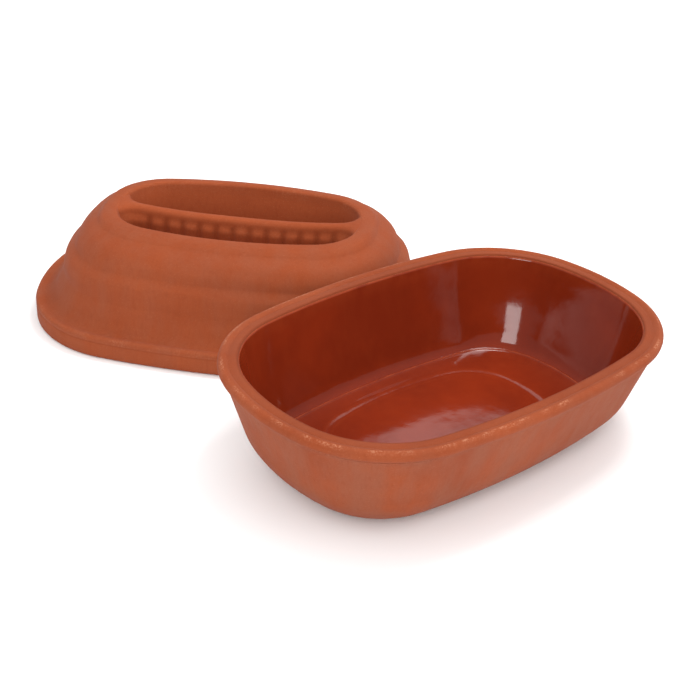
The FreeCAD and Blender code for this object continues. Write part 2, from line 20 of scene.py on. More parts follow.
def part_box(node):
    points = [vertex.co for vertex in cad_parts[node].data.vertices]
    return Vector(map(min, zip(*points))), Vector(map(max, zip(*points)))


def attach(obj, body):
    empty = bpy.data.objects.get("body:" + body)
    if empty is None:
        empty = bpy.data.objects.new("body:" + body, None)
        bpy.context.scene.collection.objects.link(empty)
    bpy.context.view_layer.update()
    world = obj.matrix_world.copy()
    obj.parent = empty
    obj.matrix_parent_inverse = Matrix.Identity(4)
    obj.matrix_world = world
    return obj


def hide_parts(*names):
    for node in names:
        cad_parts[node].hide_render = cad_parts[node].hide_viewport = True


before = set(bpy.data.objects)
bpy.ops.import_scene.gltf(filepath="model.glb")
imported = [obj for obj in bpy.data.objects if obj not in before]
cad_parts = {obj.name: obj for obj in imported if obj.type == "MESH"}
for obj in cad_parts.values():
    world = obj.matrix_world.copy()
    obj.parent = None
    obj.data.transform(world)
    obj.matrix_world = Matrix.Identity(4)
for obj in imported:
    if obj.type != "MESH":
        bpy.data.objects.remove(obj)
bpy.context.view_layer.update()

MM = 0.001
LOG = logging.getLogger("casserole")

Colour = tuple[float, float, float]
Stop = tuple[float, float]
Shares = tuple[float, ...]


# ------------------------------------------------------------------ outlines and sections


@dataclass(frozen=True)
class Oval:
    """Rounded oval about the origin, made of eight arcs that run smoothly into each other."""

    half_length: float
    half_width: float
    side_radius: float
    end_radius: float
    corner_radius: float

    END_STEPS = 24
    CORNER_STEPS = 40
    SIDE_STEPS = 56

    def sizes(self) -> tuple[float, ...]:
        """The five sizes in order."""
        return astuple(self)

    def inset(self, distance: float) -> "Oval":
        """The oval moved inwards by the same distance everywhere."""
        return Oval(*(size - distance for size in self.sizes()))

    def scaled(self, share: float) -> "Oval":
        """The oval shrunk towards its middle."""
        return Oval(*(size * share for size in self.sizes()))

    def towards(self, other: "Oval", share: float) -> "Oval":
        """The oval that lies between this one and another.

        Args:
            other: the oval at share 1.
            share: how far along the way, 0 to 1.

        Returns:
            The oval in between.
        """
        pairs = zip(self.sizes(), other.sizes())
        return Oval(*(start + (end - start) * share for start, end in pairs))

    def arcs(self) -> list[tuple[float, float, float, float, float, int]]:
        """Work out the eight arcs, counter-clockwise from the middle of the +X end.

        Returns:
            Centre x and y, radius, first and last angle, and step count of each arc.
        """
        end_x = self.half_length - self.end_radius
        side_y = self.half_width - self.side_radius
        apart = math.hypot(end_x, side_y)
        to_side = self.side_radius - self.corner_radius
        to_end = self.end_radius - self.corner_radius
        along = (to_side**2 - to_end**2 + apart**2) / (2 * apart)
        across = math.sqrt(max(to_side**2 - along**2, 0.0))
        corner_x = (along * end_x - across * side_y) / apart
        corner_y = side_y - (along * side_y + across * end_x) / apart
        low = math.atan2(corner_y, corner_x - end_x)
        high = math.atan2(corner_y - side_y, corner_x)
        pi = math.pi
        end, corner, side = self.end_radius, self.corner_radius, self.side_radius
        return [
            (end_x, 0, end, -low, low, self.END_STEPS),
            (corner_x, corner_y, corner, low, high, self.CORNER_STEPS),
            (0, side_y, side, high, pi - high, self.SIDE_STEPS),
            (-corner_x, corner_y, corner, pi - high, pi - low, self.CORNER_STEPS),
            (-end_x, 0, end, pi - low, pi + low, self.END_STEPS),
            (-corner_x, -corner_y, corner, pi + low, pi + high, self.CORNER_STEPS),
            (0, -side_y, side, pi + high, 2 * pi - high, self.SIDE_STEPS),
            (corner_x, -corner_y, corner, 2 * pi - high, 2 * pi - low, self.CORNER_STEPS),
        ]

    def points(self) -> list[tuple[float, float]]:
        """Place points round the oval.

        Returns:
            The x and y of each point, the same number on every oval.
        """
        found = []
        for centre_x, centre_y, radius, start, end, steps in self.arcs():
            for step in range(steps):
                angle = start + (end - start) * step / steps
                x = centre_x + radius * math.cos(angle)
                y = centre_y + radius * math.sin(angle)
                found.append((x, y))
        return found


class Marks(NamedTuple):
    """How the clay or glaze looks at a place, each mark from 0 to 1."""

    wear_and_highlight: float = 0.0
    bloom_and_highlight: float = 0.0
    darkening_and_shade: float = 0.0


@dataclass(frozen=True)
class Level:
    """One level of a stack: its oval, its height and its marks."""

    oval: Oval
    height: float
    marks: Marks = Marks()


class Section:
    """Path of a wall's section: stops with an inset from the outline, a height and marks."""

    def __init__(self) -> None:
        """Start with no stops."""
        self.stops: list[tuple[float, float, Marks]] = []
        self.marks = Marks()

    def look(self, wear_and_highlight: float = 0.0, bloom_and_highlight: float = 0.0, darkening_and_shade: float = 0.0) -> None:
        """Set the marks of the stops that follow: chalky rubbing and powdery film, which also
        carry painted highlight, and darkening, which also carries painted shade.
        """
        self.marks = Marks(wear_and_highlight, bloom_and_highlight, darkening_and_shade)

    def stop(self, inset: float, height: float) -> None:
        """Add one stop."""
        self.stops.append((inset, height, self.marks))

    def line(self, inset: float, height: float, steps: int = 1) -> None:
        """Go straight to a stop.

        Args:
            inset: inset of the last stop.
            height: height of the last stop.
            steps: number of equal steps.
        """
        start_inset, start_height = self.stops[-1][:2]
        for step in range(1, steps + 1):
            share = step / steps
            self.stop(
                start_inset + (inset - start_inset) * share,
                start_height + (height - start_height) * share,
            )

    def arc(self, centre: Stop, radius: float, start: float, end: float, steps: int) -> None:
        """Add an arc.

        Args:
            centre: inset and height of its centre.
            radius: its radius.
            start: first angle in degrees, 0 pointing outwards and 90 up.
            end: last angle in degrees.
            steps: number of equal steps.
        """
        for step in range(steps + 1):
            angle = math.radians(start + (end - start) * step / steps)
            self.stop(centre[0] - radius * math.cos(angle), centre[1] + radius * math.sin(angle))

    def curve(self, through: Sequence[Stop], steps: int) -> None:
        """Run smoothly through stops, starting at the first of them.

        Args:
            through: insets and heights.
            steps: number of steps between each two.
        """
        padded = [through[0], *through, through[-1]]
        self.stop(*through[0])
        for before, start, end, after in zip(padded, padded[1:], padded[2:], padded[3:]):
            for step in range(1, steps + 1):
                share = step / steps
                values = [
                    smooth_between(before[axis], start[axis], end[axis], after[axis], share)
                    for axis in (0, 1)
                ]
                self.stop(*values)

    def levels(self, outline: Callable[[float], Oval]) -> list[Level]:
        """Carry the section round an outline.

        Args:
            outline: gives the oval at an inset.

        Returns:
            One level for each stop.
        """
        return [Level(outline(inset), height, marks) for inset, height, marks in self.stops]


def closing(oval: Oval, height: float, shares: Shares, marks: Marks) -> list[Level]:
    """Levels that close an oval at one height.

    Args:
        oval: the outline to close.
        height: the height of every level.
        shares: how large each level is, as a share of the oval.
        marks: how they look.

    Returns:
        The levels in the order of the shares.
    """
    return [Level(oval.scaled(share), height, marks) for share in shares]


def smooth_between(before: float, start: float, end: float, after: float, share: float) -> float:
    """Value on a smooth curve between two values.

    Args:
        before: the value before the first.
        start: the first value, at share 0.
        end: the second value, at share 1.
        after: the value after the second.
        share: how far along the way, 0 to 1.

    Returns:
        The value there.
    """
    return 0.5 * (
        2 * start
        + (end - before) * share
        + (2 * before - 5 * start + 4 * end - after) * share**2
        + (3 * start - before - 3 * end + after) * share**3
    )


def held(value: float) -> float:
    """Value kept between 0 and 1."""
    return min(max(value, 0.0), 1.0)


def eased(low: float, high: float, value: float) -> float:
    """Smooth step from 0 at low to 1 at high."""
    share = held((value - low) / (high - low))
    return share * share * (3 - 2 * share)


def tangent_angle(centre: Stop, radius: float, point: Stop) -> float:
    """Angle at which a line down from a point touches the outside of an arc.

    Args:
        centre: inset and height of the arc's centre.
        radius: the arc's radius.
        point: inset and height of the point.

    Returns:
        The angle in degrees, 0 pointing outwards.
    """
    outwards = centre[0] - point[0]
    upwards = point[1] - centre[1]
    spread = math.acos(radius / math.hypot(outwards, upwards))
    return math.degrees(math.atan2(upwards, outwards) - spread)


# ------------------------------------------------------------------ mesh work


def next_row(mesh: bmesh.types.BMesh, row: list[bmesh.types.BMVert]) -> list[bmesh.types.BMVert]:
    """Extrude the open edge loop of a row and return the new row in the same order.

    Args:
        mesh: the mesh being built.
        row: the loop's vertices in order.

    Returns:
        The new vertices, each joined to its partner in the row.
    """
    edges = [mesh.edges.get(pair) for pair in zip(row, row[1:] + row[:1])]
    made = bmesh.ops.extrude_edge_only(mesh, edges=edges)["geom"]
    fresh = {item for item in made if isinstance(item, bmesh.types.BMVert)}
    partners = []
    for vert in row:
        partner = next(e.other_vert(vert) for e in vert.link_edges if e.other_vert(vert) in fresh)
        partners.append(partner)
    return partners


def stack_rows(mesh: bmesh.types.BMesh, rows: list[list[Vector]], marks: list[Marks]) -> None:
    """Skin closed rows of points one after the other and close both ends.

    Args:
        mesh: the mesh to add to.
        rows: the points of each row, the same number in every row.
        marks: the marks of each row.
    """
    kept = mesh.verts.layers.float
    layers = [kept.get(name) or kept.new(name) for name in Marks._fields]
    made = bmesh.ops.create_circle(mesh, cap_ends=True, radius=1.0, segments=len(rows[0]))
    row = made["verts"]
    for number, (points, values) in enumerate(zip(rows, marks)):
        if number:
            row = next_row(mesh, row)
        for vert, point in zip(row, points):
            vert.co = point
            for layer, value in zip(layers, values):
                vert[layer] = value
    edges = [mesh.edges.get(pair) for pair in zip(row, row[1:] + row[:1])]
    bmesh.ops.edgeloop_fill(mesh, edges=edges)


def stack_levels(mesh: bmesh.types.BMesh, levels: list[Level]) -> None:
    """Skin a stack of ovals.

    Args:
        mesh: the mesh to add to.
        levels: the ovals with their heights and marks.
    """
    rows = [
        [Vector((x, y, level.height)) * MM for x, y in level.oval.points()] for level in levels
    ]
    stack_rows(mesh, rows, [level.marks for level in levels])


def object_from(name: str, mesh: bmesh.types.BMesh) -> bpy.types.Object:
    """Put a mesh into the scene as an object at the origin.

    Args:
        name: the object's name.
        mesh: the mesh, which is freed.

    Returns:
        The new object.
    """
    data = bpy.data.meshes.new(name)
    mesh.to_mesh(data)
    mesh.free()
    made = bpy.data.objects.new(name, data)
    bpy.context.scene.collection.objects.link(made)
    return made


def smooth_piece(name: str, mesh: bmesh.types.BMesh) -> bpy.types.Object:
    """Turn closed shells into a smooth-shaded piece with its faces outwards.

    Args:
        name: the piece's name.
        mesh: the mesh, which is freed.

    Returns:
        The new piece.
    """
    bmesh.ops.recalc_face_normals(mesh, faces=mesh.faces)
    for face in mesh.faces:
        face.smooth = True
    return object_from(name, mesh)


def dress(
    piece: bpy.types.Object, material: bpy.types.Material, body: str, node: str
) -> None:
    """Give a piece its material and its place in the frame.

    Args:
        piece: the new piece.
        material: its finish.
        body: the frame's body that it rides on.
        node: the frame's node that it stands for.
    """
    piece.data.materials.append(material)
    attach(piece, body)
    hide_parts(node)


# ------------------------------------------------------------------ finishes


class Stretch(Enum):
    """How a pattern is stretched over a piece."""

    EVEN = (1.0, 1.0, 1.0)
    BANDS = (0.35, 0.35, 3.0)
    STREAKS = (2.2, 2.2, 0.3)


@dataclass(frozen=True)
class Patches:
    """Patchy pattern.

    scale is in cells per metre and detail in octaves. The pattern goes from base to strength
    as the noise goes from low to high. turn is about the vertical, in radians.
    """

    scale: float
    detail: float
    low: float
    high: float
    strength: float = 1.0
    stretch: Stretch = Stretch.EVEN
    turn: float = 0.0
    base: float = 0.0


@dataclass(frozen=True)
class Relief:
    """Fine relief: cells per metre, octaves, and depth in metres."""

    scale: float
    detail: float
    depth: float


class Palette:
    """Builder of one material's nodes."""

    NOISE_ROUGHNESS = 0.6

    def __init__(self, name: str) -> None:
        """Make a material with only its output and its surface.

        Args:
            name: the material's name.
        """
        self.material = bpy.data.materials.new(name)
        self.material.use_nodes = True
        self.tree = self.material.node_tree
        self.tree.nodes.clear()
        output = self.tree.nodes.new("ShaderNodeOutputMaterial")
        self.surface = self.tree.nodes.new("ShaderNodeBsdfPrincipled")
        self.join(self.surface.outputs["BSDF"], output.inputs["Surface"])
        self.place = self.tree.nodes.new("ShaderNodeTexCoord").outputs["Object"]

    def join(self, source: bpy.types.NodeSocket, target: bpy.types.NodeSocket) -> None:
        """Link two sockets."""
        self.tree.links.new(source, target)

    def noise(
        self, scale: float, detail: float, stretch: Stretch = Stretch.EVEN, turn: float = 0.0
    ) -> bpy.types.NodeSocket:
        """Add noise over the piece.

        Args:
            scale: cells per metre.
            detail: octaves.
            stretch: how the pattern is stretched.
            turn: turn of the pattern about the vertical, in radians.

        Returns:
            The noise's value socket.
        """
        mapping = self.tree.nodes.new("ShaderNodeMapping")
        mapping.inputs["Scale"].default_value = stretch.value
        mapping.inputs["Rotation"].default_value = (0.0, 0.0, turn)
        self.join(self.place, mapping.inputs["Vector"])
        noise = self.tree.nodes.new("ShaderNodeTexNoise")
        noise.inputs["Scale"].default_value = scale
        noise.inputs["Detail"].default_value = detail
        noise.inputs["Roughness"].default_value = self.NOISE_ROUGHNESS
        self.join(mapping.outputs["Vector"], noise.inputs["Vector"])
        return noise.outputs["Fac"]

    def patches(self, pattern: Patches) -> bpy.types.NodeSocket:
        """Add a patchy pattern.

        Args:
            pattern: its sizes and strength.

        Returns:
            The socket that runs from the pattern's base to its strength.
        """
        noise = self.noise(pattern.scale, pattern.detail, pattern.stretch, pattern.turn)
        spread = self.tree.nodes.new("ShaderNodeMapRange")
        spread.interpolation_type = "SMOOTHSTEP"
        spread.inputs["From Min"].default_value = pattern.low
        spread.inputs["From Max"].default_value = pattern.high
        spread.inputs["To Min"].default_value = pattern.base
        spread.inputs["To Max"].default_value = pattern.strength
        self.join(noise, spread.inputs["Value"])
        return spread.outputs["Result"]

    def mark(self, name: str) -> bpy.types.NodeSocket:
        """Read one of the mesh's own marks.

        Args:
            name: the mark's name.

        Returns:
            The mark's value socket.
        """
        attribute = self.tree.nodes.new("ShaderNodeAttribute")
        attribute.attribute_name = name
        return attribute.outputs["Fac"]

    def both(
        self, first: bpy.types.NodeSocket, second: bpy.types.NodeSocket
    ) -> bpy.types.NodeSocket:
        """Multiply two values, so the result is high only where both are.

        Args:
            first: one value.
            second: the other value.

        Returns:
            The product's socket.
        """
        product = self.tree.nodes.new("ShaderNodeMath")
        product.operation = "MULTIPLY"
        self.join(first, product.inputs[0])
        self.join(second, product.inputs[1])
        return product.outputs[0]

    def blend(
        self,
        share: bpy.types.NodeSocket,
        low: bpy.types.NodeSocket | Colour,
        high: bpy.types.NodeSocket | Colour,
    ) -> bpy.types.NodeSocket:
        """Colour between two colours.

        Args:
            share: 0 for the first colour and 1 for the second.
            low: the first colour.
            high: the second colour.

        Returns:
            The colour socket.
        """
        mix = self.tree.nodes.new("ShaderNodeMix")
        mix.data_type = "RGBA"
        self.join(share, mix.inputs["Factor"])
        for socket, colour in ((mix.inputs[6], low), (mix.inputs[7], high)):
            if isinstance(colour, tuple):
                socket.default_value = (*colour, 1.0)
            else:
                self.join(colour, socket)
        return mix.outputs[2]

    def bump(self, coarse: Relief, fine: Relief) -> None:
        """Give the surface a coarse relief with a fine one on it.

        Args:
            coarse: the relief below.
            fine: the relief that lies on it.
        """
        below = None
        for relief in (coarse, fine):
            bump = self.tree.nodes.new("ShaderNodeBump")
            bump.inputs["Strength"].default_value = 1.0
            bump.inputs["Distance"].default_value = relief.depth
            self.join(self.noise(relief.scale, relief.detail), bump.inputs["Height"])
            if below is not None:
                self.join(below, bump.inputs["Normal"])
            below = bump.outputs["Normal"]
        self.join(below, self.surface.inputs["Normal"])


@dataclass(frozen=True)
class BareClay:
    """Unglazed fired clay: a dry orange body with mottling, fine grain, a powdery film and chalky
    rubbing, and the painted highlight and shade that its marks carry.
    """

    name: str
    body: Colour = (0.292, 0.0610, 0.0195)
    dark: Colour = (0.205, 0.0370, 0.0110)
    dust_and_highlight: Colour = (0.245, 0.0760, 0.0400)
    chalk_and_highlight: Colour = (0.440, 0.180, 0.100)
    darkening_and_shade: Colour = (0.165, 0.0310, 0.0110)
    mottling: float = 0.40
    mottle: Patches = Patches(scale=9.0, detail=3.0, low=0.36, high=0.66)
    bands: Patches = Patches(16.0, 4.0, 0.42, 0.72, strength=0.22, stretch=Stretch.BANDS)
    clouds: Patches = Patches(24.0, 6.0, 0.28, 0.70, stretch=Stretch.STREAKS, turn=0.7)
    brushing: Patches = Patches(190.0, 4.0, 0.45, 0.75, 0.28, Stretch.STREAKS, turn=0.3)
    specks: Patches = Patches(1400.0, 2.0, 0.60, 0.74, strength=0.30)
    pits: Patches = Patches(900.0, 2.0, 0.64, 0.76, strength=0.35)
    rubbing: Patches = Patches(48.0, 5.0, 0.42, 0.64)
    scratches: Patches = Patches(780.0, 3.0, 0.44, 0.62)
    swell: Relief = Relief(scale=60.0, detail=4.0, depth=0.00048)
    grain: Relief = Relief(scale=1400.0, detail=2.0, depth=0.00012)
    roughness: float = 0.88
    specular: float = 0.12
    sheen: float = 0.03
    sheen_roughness: float = 0.55

    def material(self) -> bpy.types.Material:
        """Build the material.

        Returns:
            The material.
        """
        palette = Palette(self.name)
        mottle = palette.patches(replace(self.mottle, strength=self.mottling))
        colour = palette.blend(mottle, self.body, self.dark)
        colour = palette.blend(palette.patches(self.bands), colour, self.dark)
        # The powdery film follows its mark, which also paints a highlight on the ridge under the
        # bead.
        dusty_and_highlit = palette.both(palette.patches(self.clouds), palette.mark("bloom_and_highlight"))
        colour = palette.blend(dusty_and_highlit, colour, self.dust_and_highlight)
        colour = palette.blend(palette.patches(self.brushing), colour, self.dark)
        colour = palette.blend(palette.patches(self.specks), colour, self.chalk_and_highlight)
        colour = palette.blend(palette.patches(self.pits), colour, self.dark)
        # Chalky rubbing follows its mark: real on the bead's crest, a painted highlight on the
        # ridge under the bead.
        scuffed = palette.both(palette.patches(self.rubbing), palette.patches(self.scratches))
        worn_and_highlit = palette.both(scuffed, palette.mark("wear_and_highlight"))
        colour = palette.blend(worn_and_highlit, colour, self.chalk_and_highlight)
        # Darkening follows its mark: painted shade in the notch under the bead, in the flange's
        # scored line and on the land's inner edge, and a plainly darker land.
        colour = palette.blend(palette.mark("darkening_and_shade"), colour, self.darkening_and_shade)
        surface = palette.surface.inputs
        palette.join(colour, surface["Base Color"])
        surface["Roughness"].default_value = self.roughness
        surface["Specular IOR Level"].default_value = self.specular
        surface["Sheen Weight"].default_value = self.sheen
        surface["Sheen Roughness"].default_value = self.sheen_roughness
        palette.bump(self.swell, self.grain)
        return palette.material


@dataclass(frozen=True)
class BrownGlaze:
    """Glossy red-brown glaze that is lighter where it runs thin. gloss is its roughness."""

    name: str
    body: Colour = (0.205, 0.0205, 0.0050)
    deep: Colour = (0.120, 0.0110, 0.0035)
    thin: Colour = (0.300, 0.0460, 0.0130)
    clouds: Patches = Patches(scale=11.0, detail=4.0, low=0.36, high=0.66, strength=0.5)
    runs: Patches = Patches(30.0, 5.0, 0.45, 0.70, strength=0.07, stretch=Stretch.STREAKS)
    thinning: Patches = Patches(70.0, 4.0, 0.25, 0.60)
    specks: Patches = Patches(620.0, 2.0, 0.66, 0.76, strength=0.30)
    gloss: Patches = Patches(45.0, 5.0, 0.2, 0.8, base=0.055, strength=0.115)
    ripple: Relief = Relief(scale=26.0, detail=2.0, depth=0.0004)
    orange_peel: Relief = Relief(scale=240.0, detail=3.0, depth=0.00004)
    ior: float = 1.48

    def material(self) -> bpy.types.Material:
        """Build the material.

        Returns:
            The material.
        """
        palette = Palette(self.name)
        colour = palette.blend(palette.patches(self.clouds), self.body, self.deep)
        colour = palette.blend(palette.patches(self.runs), colour, self.thin)
        thinned = palette.both(palette.patches(self.thinning), palette.mark("wear_and_highlight"))
        colour = palette.blend(thinned, colour, self.thin)
        colour = palette.blend(palette.patches(self.specks), colour, self.deep)
        surface = palette.surface.inputs
        palette.join(colour, surface["Base Color"])
        palette.join(palette.patches(self.gloss), surface["Roughness"])
        surface["IOR"].default_value = self.ior
        palette.bump(self.ripple, self.orange_peel)
        return palette.material


# ------------------------------------------------------------------ the dish


@dataclass(frozen=True)
class BeadBand:
    """Band of the bead between two angles in degrees, 0 pointing outwards, with its marks."""

    start: float
    end: float
    steps: int
    wear_and_highlight: float = 0.0
    bloom_and_highlight: float = 0.3
    darkening_and_shade: float = 0.0


class Step(NamedTuple):
    """Stop of the floor, with how thin the glaze runs over it."""

    inset: float
    height: float
    wear_and_highlight: float = 0.0


@dataclass
class Dish:
    """Open dish: bare clay body with a rolled bead, and a glaze lining inside it.

    Insets are measured from the rim, and those of the panel from its own outline. The glaze
    stands edge_share of its thickness off the clay at its thinned edge, and slope_share of it
    above the clay on the sloping wall.
    """

    rim: Oval
    height: float
    finish: BareClay
    glazing: BrownGlaze
    foot_inset: float = 69.5
    foot_radius: float = 52.7
    foot_steps: int = 16
    foot_shares: Shares = (0.1, 0.55, 0.96)
    belly_steps: int = 10
    crease: Stop = (4.5, 82.2)
    ridge: Stop = (3.6, 83.1)
    under_bead: tuple[Stop, Stop] = ((4.1, 83.5), (3.8, 84.1))
    bead_radius: float = 4.6
    bead_bands: tuple[BeadBand, ...] = (
        BeadBand(-56.0, 32.0, 8),
        BeadBand(44.0, 56.0, 1, wear_and_highlight=0.35),
        BeadBand(66.0, 80.0, 2, wear_and_highlight=0.85),
        BeadBand(90.0, 124.0, 3, darkening_and_shade=0.15),
    )
    land_fillet: tuple[Stop, Stop] = ((8.1, 91.45), (9.2, 91.95))
    land_height: float = 92.2
    land_inset: float = 15.9
    land_edge: float = 1.2
    glaze: float = 0.5
    glaze_edge: Stop = (16.2, 90.9)
    glaze_shoulder: Stop = (16.2, 89.0)
    edge_share: float = 0.6
    slope_share: float = 0.4
    wall: tuple[Stop, ...] = (
        (18.8, 78.0),
        (22.2, 64.0),
        (26.4, 50.0),
        (30.6, 38.5),
        (33.9, 30.0),
        (37.0, 22.6),
        (40.6, 16.6),
        (44.6, 13.4),
    )
    wall_steps: int = 4
    ledge: tuple[Step, ...] = (
        Step(45.25, 13.25, 0.9),
        Step(45.55, 13.1, 0.9),
        Step(46.1, 12.35, 0.1),
        Step(47.6, 12.15, 0.1),
        Step(49.2, 11.85, 0.05),
    )
    ledge_foot: Stop = (57.0, 10.9)
    panel: Oval = Oval(98.0, 61.0, 300.0, 110.0, 46.0)
    panel_edge: tuple[Step, ...] = (
        Step(-4.6, 10.60),
        Step(-2.6, 10.52, 0.1),
        Step(-1.0, 10.30, 0.15),
        Step(0.6, 9.95),
        Step(2.2, 9.68),
        Step(4.0, 9.58, 0.1),
        Step(6.2, 9.58),
        Step(9.5, 9.57),
    )
    panel_middle: Stop = (9.0, 9.55)
    panel_shares: Shares = (0.8, 0.5, 0.15)

    def outside(self) -> list[Level]:
        """Work out the outside.

        Returns:
            The levels from the middle of the foot up the belly and over the bead.
        """
        foot = self.rim.inset(self.foot_inset)
        sole = closing(foot, 0.0, self.foot_shares, Marks(bloom_and_highlight=0.5))
        section = Section()
        section.look(bloom_and_highlight=0.75)
        centre = (self.foot_inset, self.foot_radius)
        touch = tangent_angle(centre, self.foot_radius, self.crease)
        section.arc(centre, self.foot_radius, -90.0, touch, self.foot_steps)
        section.line(*self.crease, steps=self.belly_steps)
        # Painted highlight: the ridge under the bead gets full chalky rubbing and powdery film,
        # drawing a light line.
        section.look(wear_and_highlight=0.9, bloom_and_highlight=1.0)
        section.line(*self.ridge)
        # Painted shadow: the notch under the bead is darkened and its powdery film thinned.
        section.look(bloom_and_highlight=0.2, darkening_and_shade=0.8)
        for stop in self.under_bead:
            section.stop(*stop)
        bead = (self.bead_radius, self.height - self.bead_radius)
        for band in self.bead_bands:
            section.look(band.wear_and_highlight, band.bloom_and_highlight, band.darkening_and_shade)
            section.arc(bead, self.bead_radius, band.start, band.end, band.steps)
        return sole + section.levels(self.rim.inset)

    def land(self) -> list[Level]:
        """Work out the flat land that the lid rests on.

        Returns:
            The levels of the land and its rounded inner edge.
        """
        section = Section()
        # The land is painted darker.
        section.look(bloom_and_highlight=0.3, darkening_and_shade=0.35)
        for stop in self.land_fillet:
            section.stop(*stop)
        section.line(self.land_inset - 2 * self.land_edge, self.land_height, steps=2)
        # Painted shade: the land's rounded inner edge, where it turns down into the dish, is
        # darker still.
        section.look(bloom_and_highlight=0.1, darkening_and_shade=0.75)
        edge = (self.land_inset - self.land_edge, self.land_height - self.land_edge)
        section.arc(edge, self.land_edge, 90.0, 180.0, 4)
        return section.levels(self.rim.inset)

    def inside(self, skin: float) -> list[Level]:
        """Work out the inside.

        Args:
            skin: how far the face stands off the clay.

        Returns:
            The levels from below the land down to the middle of the floor.
        """
        section = Section()
        section.look(wear_and_highlight=1.0)
        section.stop(self.glaze_edge[0] + skin * self.edge_share, self.glaze_edge[1])
        section.look(wear_and_highlight=0.25)
        section.stop(self.glaze_shoulder[0] + skin, self.glaze_shoulder[1])
        section.look()
        lift = skin * self.slope_share
        wall = [(inset + skin, height + lift) for inset, height in self.wall]
        section.curve(wall, self.wall_steps)
        for inset, height, wear_and_highlight in self.ledge:
            section.look(wear_and_highlight)
            section.stop(inset, height + skin)
        section.line(self.ledge_foot[0], self.ledge_foot[1] + skin, steps=3)
        return section.levels(self.rim.inset) + self.floor(skin)

    def floor(self, skin: float) -> list[Level]:
        """Work out the floor.

        Args:
            skin: how far the face stands off the clay.

        Returns:
            The levels over the soft edge of the sunk panel to the panel's middle.
        """
        section = Section()
        for inset, height, wear_and_highlight in self.panel_edge:
            section.look(wear_and_highlight)
            section.stop(inset, height + skin)
        middle_inset, middle_height = self.panel_middle
        inner = self.panel.inset(middle_inset)
        middle = closing(inner, middle_height + skin, self.panel_shares, Marks())
        return section.levels(self.panel.inset) + middle

    def clay(self) -> bpy.types.Object:
        """Build the clay body.

        Returns:
            The body, without its finish.
        """
        mesh = bmesh.new()
        stack_levels(mesh, self.outside() + self.land() + self.inside(0.0))
        return smooth_piece("dish_clay", mesh)

    def lining(self) -> bpy.types.Object:
        """Build the glaze lining.

        Returns:
            The lining, a closed skin on the clay, without its finish.
        """
        mesh = bmesh.new()
        stack_levels(mesh, self.inside(0.0)[::-1] + self.inside(self.glaze))
        return smooth_piece("dish_lining", mesh)

    def build(self) -> list[bpy.types.Object]:
        """Build and dress the dish.

        Returns:
            The clay body and its glaze lining.
        """
        clay = self.clay()
        dress(clay, self.finish.material(), "dish", "dish")
        lining = self.lining()
        dress(lining, self.glazing.material(), "dish", "dish_glaze")
        return [clay, lining]


# ------------------------------------------------------------------ the lid


